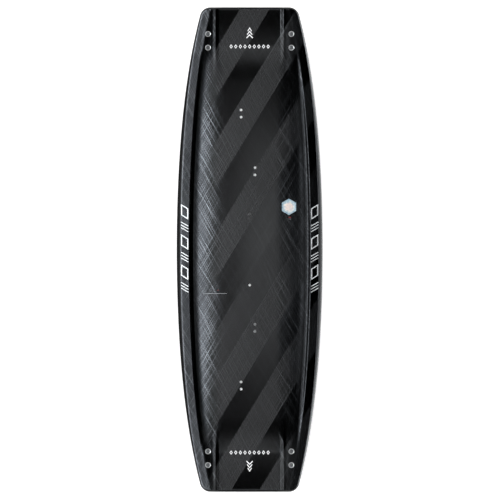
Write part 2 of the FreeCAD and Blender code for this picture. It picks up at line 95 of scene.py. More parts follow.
# sunk channel and raised lip at each tip
CHANNEL_DEPTH = 1.6
CHANNEL_HALF_WIDTH = 91
CHANNEL_WALL = 10
CHANNEL_START = 485
CHANNEL_FULL = 640
BEND = 17.5
BEND_LENGTH = 53
BEND_END = 550
LIP_HEIGHT = 0.9
LIP_WIDTH = 9
LIP_START = 470
LIP_FULL = 540
# fins and the screws that hold them; lengths, thicknesses and spacings are halves
FIN_OFFSET = 117
FIN_STATION = 587
FIN_DEPTH = 48
ROOT_LENGTH = 52
ROOT_THICKNESS = 6.5
TIP_LENGTH = 17
TIP_THICKNESS = 1.5
FIN_TILT = atan(2 * ROCKER * FIN_STATION / HALF_LENGTH**2)
SCREW_SPACING = 19.25
SCREW_HOLE = 3.3
SCREW_RADIUS = 3
SCREW_HEAD_RADIUS = 5.8
SCREW_LENGTH = 20
SOCKET_FLATS = 4
SOCKET_DEPTH = 2.3
WASHER_SEAT = 0.04
SCREW_HEAD_LIFT = 2.9
# threaded inserts; spacings are halves
INSERT_BORE = 3.1
INSERT_COLLAR = 3.6
INSERT_BARREL = 4.5
INSERT_FLANGE = 9
INSERT_GAP = 0.02
PAD_PAIRS = (("outer", -24.0, 382.0), ("inner", 15.0, 220.0))
PAD_SPACING = 10
HANDLE_SPACING = 100

# ---------------- shape of the board, by formula


def clamp(v):
    return np.clip(v, 0.0, 1.0)


def smooth(v):
    v = clamp(v)
    return v * v * (3 - 2 * v)


def ramp(v):
    """A nearly straight step from 0 to 1, a little eased at both ends."""
    return (clamp(v) + smooth(v)) / 2


def reach(y):
    """How far along the board a station is: 0 in the middle, 1 at a tip."""
    return np.abs(y) / HALF_LENGTH


def half_width(y):
    return HALF_WIDTH - SIDE_SWEEP * reach(y) ** 2 - TIP_SWEEP * reach(y) ** 4


def bevel_width(y):
    return BEVEL_TIP + (BEVEL_MIDDLE - BEVEL_TIP) * np.maximum(0.0, 1 - reach(y) ** 2) ** 1.6


def deck_half_width(y):
    return half_width(y) - bevel_width(y)


def ridge(y):
    """Distance of the ridge's line from the middle of the board."""
    return half_width(y) - RIDGE_INSET + RIDGE_TAPER * reach(y) ** 2


def facet(a, y):
    """Height of the ridge's outer facet over the base line."""
    return EDGE_HEIGHT - EDGE_TAPER * reach(y) ** 2 + FACET_SLOPE * (deck_half_width(y) - a)


def wall_share(y):
    return np.maximum(0.0, 1 - (reach(y) / WALL_FADE) ** 6) ** 1.5


def valley(y):
    """Distance of the foot of the ridge's inner wall from the middle of the board."""
    return ridge(y) - WALL_FOOT - (WALL_WIDTH - WALL_FOOT) * wall_share(y)


def channel_middle(y):
    """Distance of the middle of the channel's wall from the middle of the board."""
    bend = np.maximum(0.0, BEND_END - np.maximum(np.abs(y), CHANNEL_START)) / BEND_LENGTH
    return CHANNEL_HALF_WIDTH - BEND * bend**1.8


def inner_deck(a, y):
    """Height over the base line of the deck between the ridges, its walls carried on straight beyond them."""
    wall_height = WALL_HEIGHT * wall_share(y)
    low, high = valley(y), ridge(y)
    width = high - low
    floor = facet(high, y) - wall_height
    fading = np.maximum(0.0, 1 - (reach(y) / SHOULDER_FADE) ** 10)
    curve_loss = SHOULDER_CURVE / 2
    shoulder = SHOULDER_SLOPE * np.maximum(0.0, low - KNUCKLE) * (1 - curve_loss) * fading
    crown = CROWN * np.maximum(0.0, 1 - reach(y) ** 4) * fading
    lip_share = smooth((np.abs(y) - LIP_START) / (LIP_FULL - LIP_START))
    lip = LIP_HEIGHT * lip_share * smooth((KNUCKLE - a) / LIP_WIDTH + 0.5)
    channel_share = smooth((np.abs(y) - CHANNEL_START) / (CHANNEL_FULL - CHANNEL_START))
    channel = (CHANNEL_DEPTH + LIP_HEIGHT * lip_share) * channel_share
    channel = channel * ramp((channel_middle(y) - a) / CHANNEL_WALL + 0.5)
    q = (low - a) / (low - KNUCKLE)
    rise = np.where(q < SHOULDER_CURVE, q * q / (2 * SHOULDER_CURVE), q - curve_loss) / (1 - curve_loss)
    flat = shoulder + crown * (1 - (a / KNUCKLE) ** 2)
    middle = floor + soft_min(shoulder * rise, flat, fading + 1e-6) + lip - channel
    wall = floor + wall_height * ((a - low) / width) ** 2
    beyond = floor + wall_height * (1 + 2 * (a - high) / width)
    return np.where(a > high, beyond, np.where(a > low, wall, middle))


def soft_min(p, q, k):
    """The lower of two heights, rounded where they cross."""
    near = np.maximum(0.0, k - np.abs(p - q)) / k
    return np.minimum(p, q) - near * near * k / 4


def base_shape(x, y):
    """Height of the base's rocker and concave over the lowest line of its edges."""
    bow = CONCAVE * (1 - (x / HALF_WIDTH) ** 2) * np.maximum(0.0, 1 - reach(y) ** 2)
    return ROCKER * reach(y) ** 2 + bow


FIN_DROP = FIN_DEPTH * cos(FIN_TILT) + TIP_LENGTH * sin(FIN_TILT)
STAND = FIN_DROP - float(base_shape(FIN_OFFSET, FIN_STATION))


def base_z(x, y):
    return STAND + base_shape(x, y)


def deck_z(x, y):
    """Top of the board, with its ridges slightly rounded."""
    a = np.abs(x)
    return STAND + ROCKER * reach(y) ** 2 + soft_min(inner_deck(a, y), facet(a, y), RIDGE_ROUNDING)


def side_lean(side_of, y):
    """The angle by which a side of the outline leans inwards at a station."""
    return atan(float(side_of(y - 0.5) - side_of(y + 0.5)))


def corner(side_of, end, radius):
    """Centre of a plan corner, the lean of the side where its arc starts, and the station of that start."""
    y_side = end - radius
    for _ in range(20):
        lean = side_lean(side_of, y_side)
        y_side = end - radius + radius * sin(lean)
    x = float(side_of(y_side)) - radius * cos(lean)
    return x, end - radius, lean, y_side


DECK_END = HALF_LENGTH - BEVEL_END
DECK_RADIUS = CORNER_RADIUS - BEVEL_END
DECK_CORNER = corner(deck_half_width, DECK_END, DECK_RADIUS)
BASE_CORNER = corner(half_width, HALF_LENGTH, CORNER_RADIUS)


def edge_distance(x, y, side_of, end, radius, knee):
    """How far a point in plan lies inside an outline with straight ends and rounded corners."""
    a, b = np.abs(x), np.abs(y)
    cx, cy, lean, _ = knee
    inside = np.minimum((side_of(b) - a) * cos(lean), end - b)
    angle = np.arctan2(b - cy, a - cx)
    in_corner = (a > cx) & (angle > lean) & (angle < pi / 2)
    return np.where(in_corner, radius - np.hypot(a - cx, b - cy), inside)


# ---------------- meshes


def spread(low, high, count):
    """Evenly spaced numbers, both ends among them."""
    return [low + (high - low) * i / (count - 1) for i in range(count)]


def new_object(name, data):
    """An object in the scene, around a mesh, light or camera."""
    obj = bpy.data.objects.new(name, data)
    bpy.context.scene.collection.objects.link(obj)
    return obj


def piece(name, verts, faces, materials, stands_for=(), picks=None, angle=38):
    """A mesh from millimetre corners, riding on the board; the picks say which material each face takes."""
    mesh = bpy.data.meshes.new(name)
    mesh.from_pydata((np.asarray(verts, float) * MM).tolist(), [], [list(map(int, f)) for f in faces])
    for mat in materials if isinstance(materials, (list, tuple)) else [materials]:
        mesh.materials.append(mat)
    if picks is not None:
        mesh.polygons.foreach_set("material_index", picks)
    mesh.shade_smooth()
    mesh.set_sharp_from_angle(angle=radians(angle))
    obj = new_object(name, mesh)
    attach(obj, "root")
    if stands_for:
        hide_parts(*stands_for)


def mirrored(verts, faces, axis):
    """A half sheet joined to its mirror image over the plane where that coordinate is 0."""
    verts = np.asarray(verts)
    on_plane = np.abs(verts[:, axis]) < 1e-6
    other = np.arange(len(verts))
    other[~on_plane] = len(verts) + np.arange((~on_plane).sum())
    image = verts[~on_plane].copy()
    image[:, axis] *= -1
    flipped = [[int(other[i]) for i in reversed(f)] for f in faces]
    return np.vstack([verts, image]), faces + flipped


def emptied(bm):
    """The corners and faces of a bmesh, which is then freed."""
    bm.verts.index_update()
    verts = np.array([v.co for v in bm.verts], float)
    faces = [[v.index for v in f.verts] for f in bm.faces]
    bm.free()
    return verts, faces


def plan_quarter(rows, columns, knee, radius, insets):
    """A flat quarter of the board's plan, its corner cut round, with cuts running round it at each inset."""
    bm = bmesh.new()
    grid = [[bm.verts.new((x, y, 0)) for x in columns(y)] for y in rows]
    for low, high in zip(grid, grid[1:]):
        for i in range(len(low) - 1):
            bm.faces.new((low[i], low[i + 1], high[i + 1], high[i]))
    cx, cy, lean, _ = knee
    for inset in insets:
        for turn in spread(lean, pi / 2, 13):
            out = Vector((cos(turn), sin(turn), 0))
            region = [f for f in bm.faces if max(v.co.y for v in f.verts) > cy - 3]
            region += list({e for f in region for e in f.edges}) + list({v for f in region for v in f.verts})
            start = Vector((cx, cy, 0)) + out * (radius - inset)
            bmesh.ops.bisect_plane(
                bm, geom=region, dist=1e-4, plane_co=start, plane_no=out, clear_outer=inset == 0
            )
    return emptied(bm)


PATCH = 30.0


def punched(verts, faces, holes, sides=32):
    """The flat sheet with round holes let into it.

    Each hole is (x, y, radius). The faces round it are taken out and filled again up to its rim. Holes close
    together share one such patch.
    """
    bm = bmesh.new()
    made = [bm.verts.new(v) for v in verts]
    for f in faces:
        bm.faces.new([made[i] for i in f])
    bmesh.ops.remove_doubles(bm, verts=bm.verts, dist=1e-4)
    groups = []
    for hole in holes:
        near = [g for g in groups if any(dist(hole[:2], other[:2]) < PATCH for other in g)]
        if near:
            near[0].append(hole)
        else:
            groups.append([hole])
    for group in groups:
        gone = set()
        for x, y, radius in group:
            middle = Vector((x, y, 0))
            for v in bm.verts:
                if (v.co - middle).length < radius + 1.0:
                    gone |= set(v.link_faces)
            gone.add(min(bm.faces, key=lambda f: (f.calc_center_median() - middle).length_squared))
        for f in list(gone):
            gone |= {g for v in f.verts for g in v.link_faces}
        rim = list({e for f in gone for e in f.edges if sum(g in gone for g in e.link_faces) == 1})
        rim.sort(key=lambda e: e.index)
        bmesh.ops.delete(bm, geom=list(gone), context="FACES")
        loops = [e for e in rim if e.is_valid]
        for x, y, radius in group:
            turns = [2 * pi * i / sides for i in range(sides)]
            ring = [bm.verts.new((x + radius * cos(t), y + radius * sin(t), 0)) for t in turns]
            loops += [bm.edges.new((ring[i], ring[(i + 1) % sides])) for i in range(sides)]
        filled = bmesh.ops.triangle_fill(bm, edges=loops, use_beauty=True, use_dissolve=False)
        for f in [g for g in filled["geom"] if isinstance(g, bmesh.types.BMFace)]:
            centre = f.calc_center_median()
            if any(dist(centre[:2], hole[:2]) < hole[2] * 0.98 for hole in group):
                bm.faces.remove(f)
    bmesh.ops.delete(bm, geom=[v for v in bm.verts if not v.link_faces], context="VERTS")
    for f in bm.faces:
        f.normal_update()
        if f.normal.z < 0:
            f.normal_flip()
    return emptied(bm)


def shell(verts, faces, top, bottom):
    """A closed shell over a flat sheet, between two height fields."""
    x, y = verts[:, 0], verts[:, 1]
    upper = np.column_stack([x, y, top(x, y)])
    lower = np.column_stack([x, y, bottom(x, y)])
    count = len(verts)
    edges = dict.fromkeys(edge for f in faces for edge in zip(f, f[1:] + f[:1]))
    walls = [(i, j) for i, j in edges if (j, i) not in edges]
    every = [list(f) for f in faces]
    every += [[i + count for i in reversed(f)] for f in faces]
    every += [[j, i, i + count, j + count] for i, j in walls]
    return np.vstack([upper, lower]), every


def lathe(profile, sides=40, close=True):
    """A turned piece from rings of (radius, height), where a radius of 0 is a point on the axis.

    A closed one joins its last ring to its first, as round a washer's bore.
    """
    verts, faces, rings = [], [], []
    for radius, height in profile:
        count = sides if radius else 1
        rings.append([len(verts) + i % count for i in range(sides)])
        for i in range(count):
            t = 2 * pi * i / sides
            verts.append((radius * cos(t), radius * sin(t), height))
    for low, high in zip(rings, rings[1:] + (rings[:1] if close else [])):
        for i in range(sides):
            j = (i + 1) % sides
            faces.append(tuple(dict.fromkeys((low[i], low[j], high[j], high[i]))))
    return np.array(verts, float), faces


def between(low, high, count):
    """Faces between two rings of corners, each ring given by the number of its first corner."""
    pairs = [(i, (i + 1) % count) for i in range(count)]
    return [(low + i, high + i, high + j, low + j) for i, j in pairs]


def placed(verts, matrix):
    return np.array([matrix @ Vector(v) for v in verts])


def outward(verts, faces):
    """The same faces turned so that the closed mesh has its normals outwards."""
    volume = 0.0
    for f in faces:
        a = verts[f[0]]
        for i in range(1, len(f) - 1):
            volume += np.dot(a, np.cross(verts[f[i]], verts[f[i + 1]]))
    return faces if volume > 0 else [list(reversed(f)) for f in faces]


# ---------------- node materials (metres)


def is_socket(value):
    return isinstance(value, bpy.types.NodeSocket)


def node(kind, inputs, tree=None, **settings):
    """A new shader node, its inputs set or linked, in the tree given or the one its sockets are in."""
    tree = tree or next(value.id_data for value in inputs.values() if is_socket(value))
    made = tree.nodes.new("ShaderNode" + kind)
    for key, value in settings.items():
        setattr(made, key, value)
    for key, value in inputs.items():
        if is_socket(value):
            tree.links.new(value, made.inputs[key])
        else:
            made.inputs[key].default_value = value
    return made


def calc(operation, *values):
    return node("Math", dict(enumerate(values)), operation=operation).outputs[0]


def times(first, second):
    return calc("MULTIPLY", first, second)


def plus(first, second):
    return calc("ADD", first, second)


def larger(first, second):
    return calc("MAXIMUM", first, second)


def scaled(value, factor, offset):
    return calc("MULTIPLY_ADD", value, factor, offset)


def split(vector):
    """The X, Y and Z of a vector."""
    return tuple(node("SeparateXYZ", {0: vector}).outputs)


def ease(value, start, end, low=0.0, high=1.0):
    """A soft ramp from low to high as the value goes from start to end."""
    inputs = {"Value": value, "From Min": start, "From Max": end, "To Min": low, "To Max": high}
    return node("MapRange", inputs, interpolation_type="SMOOTHSTEP").outputs["Result"]


def window(value, start, full, still_full, end):
    """1 between the two middle values, fading to 0 at the outer ones."""
    return times(ease(value, start, full), ease(value, end, still_full))


def blend(share, first, second):
    """Mix of two colours, each a socket or an (r, g, b)."""
    colours = [colour if is_socket(colour) else (*colour, 1.0) for colour in (first, second)]
    made = node("Mix", {0: share, 6: colours[0], 7: colours[1]}, data_type="RGBA")
    return made.outputs[2]


def surface(name, **constants):
    """A new material with constants set on its Principled shader; an underscore stands for a space."""
    mat = bpy.data.materials.new(name)
    mat.use_nodes = True
    bsdf = mat.node_tree.nodes["Principled BSDF"]
    for key, value in constants.items():
        bsdf.inputs[key.replace("_", " ")].default_value = value
    return mat, bsdf


def drive(bsdf, **sockets):
    """Link sockets to the shader's inputs; an underscore stands for a space."""
    for key, socket in sockets.items():
        bsdf.id_data.links.new(socket, bsdf.inputs[key.replace("_", " ")])


def bump(bsdf, height, depth, strength):
    made = node("Bump", {"Height": height, "Distance": depth, "Strength": strength})
    drive(bsdf, Normal=made.outputs[0])


def place_of(bsdf):
    """The place on the board that a material's shader is asked about."""
    return bsdf.id_data.nodes.new("ShaderNodeTexCoord").outputs["Object"]


def noise(vector, scale=1.0, detail=2.0, roughness=0.5):
    inputs = {"Vector": vector, "Scale": scale, "Detail": detail, "Roughness": roughness}
    return node("TexNoise", inputs).outputs["Fac"]


def turned(place, angle, *sizes):
    """Places counted in steps of the given sizes along axes turned by an angle from the board's own."""
    inputs = {"Vector": place, "Rotation": (0, 0, radians(angle)), "Scale": sizes}
    return node("Mapping", inputs, vector_type="TEXTURE").outputs[0]


def strands(place, angle, across, along, detail=2.0):
    """Noise drawn out into long lines, at an angle from the board's length."""
    return noise(turned(place, angle, across, along, 50.0), detail=detail, roughness=0.6)


TOW_WIDTH = 0.0014


def tows(place, angle, spacing):
    """Thin parallel lines of fibre that wander a little and come and go."""
    width = TOW_WIDTH / spacing
    across = split(turned(place, angle, spacing, 1.0, 1.0))[0]
    drift = strands(place, angle, 2.2 * spacing, 0.5, detail=1.0)
    off_line = calc("PINGPONG", scaled(drift, 2.6, across), 0.5)
    strength = strands(place, angle + 1, 1.3 * spacing, 0.30)
    strength = ease(strength, 0.38, 0.62, 0.05, 1.0)
    return times(ease(off_line, width, 0.2 * width), strength)


# Colours of the carbon: the resin, the strands, and the same under a matt stripe. The resin's shoulder copies
# are painted shade, its outer and facet copies painted sheen, and SHADE is painted shade.
RESIN = (0.0355, 0.035, 0.035)
RESIN_SHOULDER_SHADE = (0.010, 0.0103, 0.011)
RESIN_OUTER_SHEEN = (0.040, 0.042, 0.046)
RESIN_FACET_SHEEN = (0.038, 0.039, 0.042)
STRAND = (0.270, 0.281, 0.304)
MATT = (0.0315, 0.0316, 0.0328)
MATT_SHOULDER_SHADE = (0.012, 0.0121, 0.0124)
MATT_OUTER_SHEEN = (0.034, 0.035, 0.038)
MATT_STRAND = (0.210, 0.217, 0.231)
SHADE = (0.004, 0.004, 0.004)
CLOUD = (0.018, 0.018, 0.019)

# Where each diagonal stripe starts across the board, in mm, and how matt it is
STRIPES = ((-560, 0.0), (-438, 1.0), (-358, 0.0), (-280, 1.0), (-202, 0.0), (-123, 1.0), (-44, 0.0))
STRIPES += ((41, 0.5), (121, 1.0), (203, 0.0), (275, 1.0), (355, 0.0), (434, 1.0))
STRIPE_REACH = 560
STRIPE_LEAN = 1.645


def stripe_level(across, along):
    """1 on matt stripes and 0 on gloss ones; the stripes lean across the board."""
    level = calc("SUBTRACT", across, calc("DIVIDE", along, STRIPE_LEAN))
    limit = STRIPE_REACH * MM
    share = node("MapRange", {"Value": level, "From Min": -limit, "From Max": limit})
    steps = node("ValToRGB", {"Fac": share.outputs[0]})
    steps.color_ramp.interpolation = "CONSTANT"
    stops = steps.color_ramp.elements
    for i, (start, matt) in enumerate(STRIPES):
        at = (start + STRIPE_REACH) / (2 * STRIPE_REACH)
        stop = stops[i] if i < 2 else stops.new(at)
        stop.position = at
        stop.color = (matt, matt, matt, 1)
    return steps.outputs["Color"]


def inside_ridge(along, off_middle):
    """How far inside the ridge's line a place lies; it is below 0 out on the facet."""
    squared = times(times(along, along), 1 / (HALF_LENGTH * MM) ** 2)
    line = scaled(squared, -TIP_SWEEP * MM, (RIDGE_TAPER - SIDE_SWEEP) * MM)
    line = scaled(line, squared, (HALF_WIDTH - RIDGE_INSET) * MM)
    return calc("SUBTRACT", line, off_middle)


def fibres(place):
    """Clear lines of fibre crossing at about 60 degrees, and the fine hair between them."""
    one_way = tows(place, 28, 0.0058)
    other_way = times(tows(place, -31, 0.0063), 0.85)
    long_line = tows(place, 30.5, 0.023)
    lines = larger(times(larger(one_way, other_way), 0.75), long_line)
    hair = strands(place, 30, 0.0022, 0.12, detail=3.0)
    back = strands(place, -30, 0.0024, 0.12, detail=3.0)
    return lines, times(plus(hair, back), 0.5)


def carbon(name, striped, lighter=1.0):
    """Crossed carbon fibre under clear resin, with painted sheen and shade that change across the board. The
    deck has matt and gloss stripes, and gloss inner walls.
    """
    mat, bsdf = surface(name, IOR=1.5)
    place = place_of(bsdf)
    across, along, _ = split(place)
    off_middle = calc("ABSOLUTE", across)
    inside = inside_ridge(along, off_middle)
    lines, fuzz = fibres(place)
    cloud = noise(place, scale=7.0)

    # The fibre pattern is the board's own; how strongly its pale strands show is painted sheen: faint in the
    # middle, strong on the shoulders where light catches them, soft from the valleys outwards
    outer = ease(off_middle, 0.108, 0.130)
    on_facet = ease(inside, 0.001, -0.001)
    strand_sheen = ease(off_middle, 0.070, 0.105, 0.10, 1.0)
    strand_sheen = times(strand_sheen, scaled(on_facet, -0.45, 1.0))
    weave = times(ease(fuzz, 0.43, 0.62), 0.18)
    shown = times(scaled(lines, scaled(outer, -0.44, 0.90), weave), strand_sheen)
    darker = times(strand_sheen, 0.7)

    # Lit and shaded copies of one resin: painted shade on the shoulders, painted bluish sheen on the outer
    # parts and the facets
    resin = blend(darker, tuple(part * lighter for part in RESIN), RESIN_SHOULDER_SHADE)
    resin = blend(on_facet, blend(outer, resin, RESIN_OUTER_SHEEN), RESIN_FACET_SHEEN)
    colour = blend(shown, resin, STRAND)
    if striped:
        wall = window(inside, -0.0008, 0.0004, 0.011, 0.015)
        wall = times(wall, ease(calc("ABSOLUTE", along), 0.57, 0.50))
        level = times(stripe_level(across, along), calc("SUBTRACT", 1.0, wall))
        # Painted sheen: the matt stripes fade out over the left shoulder only, the side the light comes from
        level = times(level, ease(across, -0.130, -0.085, 0.25, 1.0))
        # The matt stripes take the same painted shade on the shoulders and painted sheen further out
        matt = blend(outer, blend(darker, MATT, MATT_SHOULDER_SHADE), MATT_OUTER_SHEEN)
        colour = blend(level, colour, blend(shown, matt, MATT_STRAND))
        # Painted shade: dark in the valleys, less so where the shoulders begin, and a little all down the
        # right side, away from the light
        shade = times(window(inside, 0.001, 0.005, 0.015, 0.030), 0.8)
        shade = larger(shade, times(window(off_middle, 0.070, 0.092, 0.098, 0.128), 0.50))
        shade = larger(shade, ease(across, 0.082, 0.112, 0.0, 0.36))
        colour = blend(shade, colour, SHADE)
        # Matt stripes are partly diffuse in the middle of the deck and hardly at its sides; the loss at the
        # sides paints shade on them there
        diffuse_with_side_shade = times(level, ease(off_middle, 0.085, 0.125, -0.36, -0.045))
        drive(bsdf, Metallic=plus(diffuse_with_side_shade, 1.0), Roughness=scaled(level, 0.14, 0.13))
        fuzz = times(fuzz, scaled(wall, -0.85, 1.0))
    else:
        bsdf.inputs["Metallic"].default_value = 0.85
        drive(bsdf, Roughness=scaled(cloud, 0.08, 0.14))
    drive(bsdf, Base_Color=blend(times(cloud, 0.2), colour, CLOUD))
    relief = scaled(lines, 0.1, times(fuzz, 0.22))
    bump(bsdf, times(relief, ease(off_middle, 0.05, 0.12, 0.35, 1.0)), 0.0005, 0.8)
    return mat


SCRATCH = 0.0006
GRAIN = 0.0011


def brushed(name, colour, rough, metallic=0.6):
    """Turned or brushed metal with fine scratches."""
    mat, bsdf = surface(name, Metallic=metallic, IOR=1.8)
    place = place_of(bsdf)
    fine = noise(place, scale=1 / SCRATCH, detail=3.0)
    broad = noise(place, scale=160.0)
    dark = tuple(part * 0.72 for part in colour)
    drive(bsdf, Base_Color=blend(broad, dark, colour), Roughness=scaled(fine, 0.16, rough))
    bump(bsdf, fine, 0.00004, 0.5)
    return mat


def moulded(name, dark, pale, rough, specular=0.5):
    """Moulded plastic with a fine leathery grain."""
    mat, bsdf = surface(name, IOR=1.5, Specular_IOR_Level=specular)
    place = place_of(bsdf)
    fine = noise(place, scale=1 / GRAIN)
    broad = noise(place, scale=22.0, detail=3.0)
    drive(bsdf, Base_Color=blend(broad, dark, pale), Roughness=scaled(fine, 0.12, rough))
    bump(bsdf, fine, 0.00005, 0.6)
    return mat


def wood(name):
    """Light softwood strips glued side by side, grain along the board."""
    mat, bsdf = surface(name, Roughness=0.6)
    place = place_of(bsdf)
    grain = strands(place, 0, 0.006, 0.5, detail=4.0)
    strip = calc("FLOOR", calc("DIVIDE", split(place)[0], 0.022))
    tone = node("TexWhiteNoise", {"W": strip}, noise_dimensions="1D").outputs["Value"]
    colour = blend(grain, (0.36, 0.22, 0.11), (0.62, 0.45, 0.27))
    drive(bsdf, Base_Color=blend(times(tone, 0.35), colour, (0.30, 0.18, 0.09)))
    bump(bsdf, grain, 0.0002, 0.5)
    return mat


def laminated(name):
    """Black glass laminate, cut so that its thin layers show faintly."""
    mat, bsdf = surface(name, IOR=1.5)
    place = place_of(bsdf)
    layers = strands(place, 90, 0.0006, 0.05)
    cloud = noise(place, scale=60.0, detail=3.0)
    colour = blend(layers, (0.009, 0.010, 0.011), (0.026, 0.028, 0.030))
    drive(bsdf, Base_Color=colour, Roughness=scaled(cloud, 0.14, 0.26))
    bump(bsdf, layers, 0.00006, 0.6)
    return mat


def ink(name, colour, worn, metallic=0.0):
    """Opaque printed ink, very slightly worn."""
    mat, bsdf = surface(name, IOR=1.45, Metallic=metallic)
    fleck = noise(place_of(bsdf), scale=700.0, detail=3.0)
    colour = blend(ease(fleck, 0.58, 0.75), colour, worn)
    drive(bsdf, Base_Color=colour, Roughness=scaled(fleck, 0.2, 0.3))
    bump(bsdf, fleck, 0.00002, 0.5)
    return mat


def foil(name, first, second, speck, metallic):
    """Holographic foil: soft patches of two tints with small specks of a third."""
    mat, bsdf = surface(name, Metallic=metallic, IOR=1.6)
    place = place_of(bsdf)
    patch = noise(place, scale=170.0)
    dots = node("TexVoronoi", {"Vector": place, "Scale": 420.0}).outputs["Distance"]
    colour = blend(ease(patch, 0.38, 0.62), first, second)
    colour = blend(ease(dots, 0.34, 0.16), colour, speck)
    drive(bsdf, Base_Color=colour, Roughness=scaled(patch, 0.2, 0.22))
    bump(bsdf, dots, 0.00005, 0.5)
    return mat


DECK = carbon("deck_carbon", True)
BASE = carbon("base_carbon", False, lighter=1.3)
RAIL = moulded("rail_plastic", (0.0022, 0.0022, 0.0025), (0.0045, 0.0045, 0.005), 0.30, specular=0.45)
BLOCK = moulded("block_plastic", (0.030, 0.030, 0.031), (0.055, 0.055, 0.056), 0.45)
CORE = wood("core_wood")
FIN = laminated("fin_glass_laminate")
BRASS = brushed("sleeve_brass", (0.78, 0.58, 0.28), 0.22)
# Screw steel, its colour kept dim as painted shade for the dark socket in each washer
SCREW = brushed("screw_steel", (0.13, 0.135, 0.14), 0.30, metallic=0.7)
WASHER = brushed("washer_steel", (0.84, 0.85, 0.86), 0.30, metallic=0.75)
# Insert steel, near white in part as a painted glint for the light caught in the bores
INSERT = brushed("insert_steel", (0.97, 0.98, 0.98), 0.30, metallic=0.35)
# Dim and dark copies of the insert steel: painted shade for the dimmer things some inserts reflect
INSERT_PAINTED_DIM = brushed("insert_steel_painted_dim", (0.46, 0.47, 0.48), 0.34, metallic=0.4)
INSERT_PAINTED_DARK = brushed("insert_steel_painted_dark", (0.17, 0.175, 0.18), 0.36, metallic=0.4)
WHITE = ink("print_white", (0.80, 0.81, 0.82), (0.60, 0.61, 0.62))
SILVER = ink("print_silver", (0.84, 0.85, 0.86), (0.64, 0.65, 0.66), metallic=0.80)
PALE = ink("print_pale", (0.36, 0.37, 0.38), (0.24, 0.24, 0.25), metallic=0.75)
RED = ink("print_red", (0.20, 0.012, 0.016), (0.11, 0.008, 0.01))
FOIL_RIM = foil("badge_rim", (0.17, 0.28, 0.36), (0.30, 0.40, 0.45), (0.62, 0.70, 0.74), 0.2)
FOIL_BAND = foil("badge_band", (0.56, 0.57, 0.55), (0.28, 0.40, 0.46), (0.70, 0.62, 0.62), 0.15)
FOIL_CORE = foil("badge_core", (0.66, 0.56, 0.49), (0.50, 0.44, 0.47), (0.30, 0.44, 0.42), 0.12)

# ---------------- where the fasteners are

ENDS = {"front": 1, "rear": -1}
SIDES = {"left": -1, "right": 1}


def fin_matrix(sx, sy):
    """A fin's own frame, with its origin on the base and its Y along the base."""
    place = Vector((sx * FIN_OFFSET, sy * FIN_STATION, float(base_z(FIN_OFFSET, FIN_STATION))))
    return Matrix.Translation(place) @ Matrix.Rotation(sy * FIN_TILT, 4, "X")


def on_deck(matrix, y):
    """Height of the deck over a fin's own plane, at y along that fin."""
    height = 8.0
    for _ in range(6):
        point = matrix @ Vector((0, y, height))
        height += float(deck_z(point.x, point.y)) - point.z
    return height


SCREWS = []
for end, sy in ENDS.items():
    for side, sx in SIDES.items():
        for which, way in (("outer", sy), ("inner", -sy)):
            SCREWS.append((f"{end}_{side}_{which}", fin_matrix(sx, sy), way * SCREW_SPACING))

INSERTS = []
for end, sy in ENDS.items():
    for ring, x, station in PAD_PAIRS:
        INSERTS.append((f"pad_insert_{end}_{ring}_a", x, sy * (station + PAD_SPACING)))
        INSERTS.append((f"pad_insert_{end}_{ring}_b", x, sy * (station - PAD_SPACING)))
    INSERTS.append((f"handle_insert_{end}", 0.0, sy * HANDLE_SPACING))

# ---------------- deck and base skins


def half_rows(end):
    """Stations along half of the board, closer together at the channel and the end."""
    rows = spread(0, 456, 58) + spread(459.5, 600, 41) + spread(604, end - 4, 18)
    return rows + [end - d for d in (3, 1.5, 0.7, 0.35, 0.15, 0)]


def deck_columns(y):
    """Points across half of the deck, closer together where its section bends."""
    middle, low, high, edge = (float(f(y)) for f in (channel_middle, valley, ridge, deck_half_width))
    out = spread(0, middle - 7, 13) + [middle + i for i in (-5.5, -5, -4.5, -3, -1.5, 0, 1.5, 3, 4.5, 5, 5.5)]
    out += spread(middle + 5.5, KNUCKLE, 4)[1:] + [KNUCKLE + i for i in (1, 2, 3.5, 5)]
    out += spread(KNUCKLE + 5, low, 11)[1:] + spread(low, high - 2.2, 8)[1:]
    out += [high + d for d in (-1.6, -1.1, -0.7, -0.35, 0, 0.35, 0.7, 1.1, 1.6, 2.2)]
    out += spread(high + 2.2, edge - 3, 6)[1:]
    return out + [edge - d for d in (1.5, 0.7, 0.35, 0.15, 0)]


def base_columns(y):
    """Points across half of the base, closer together at its edge."""
    edge = float(half_width(y))
    return spread(0, edge - 5, 22) + [edge - d for d in (3, 1.2, 0.6, 0.3, 0.12, 0)]


def deck_top(x, y):
    """The deck's surface with its edge eased down to the rail."""
    inside = edge_distance(x, y, deck_half_width, DECK_END, DECK_RADIUS, DECK_CORNER)
    chamfer = 0.085 * np.clip(3 - inside, 0, 3) + 0.22 * np.clip(1 - inside / 0.5, 0, 1) ** 2
    return deck_z(x, y) - chamfer


def base_bottom(x, y):
    """The base's surface with its edge eased up."""
    inside = edge_distance(x, y, half_width, HALF_LENGTH, CORNER_RADIUS, BASE_CORNER)
    return base_z(x, y) + 0.45 * np.clip(1 - inside / 0.6, 0, 1) ** 2


def sheet(end, columns, knee, radius, holes):
    """The whole plan of a skin: a quarter mirrored twice, with its holes let in."""
    quarter = plan_quarter(half_rows(end), columns, knee, radius, (3, 1.5, 0.6, 0.25, 0))
    half = mirrored(*quarter, 0)
    return punched(*mirrored(*half, 1), holes)


deck_holes = [(x, y, INSERT_COLLAR + INSERT_GAP) for _, x, y in INSERTS]
base_holes = []
for _, matrix, y in SCREWS:
    over = matrix @ Vector((0, y, on_deck(matrix, y)))
    under = matrix @ Vector((0, y, 0))
    deck_holes.append((over.x, over.y, SCREW_HOLE))
    base_holes.append((under.x, under.y, SCREW_HOLE))

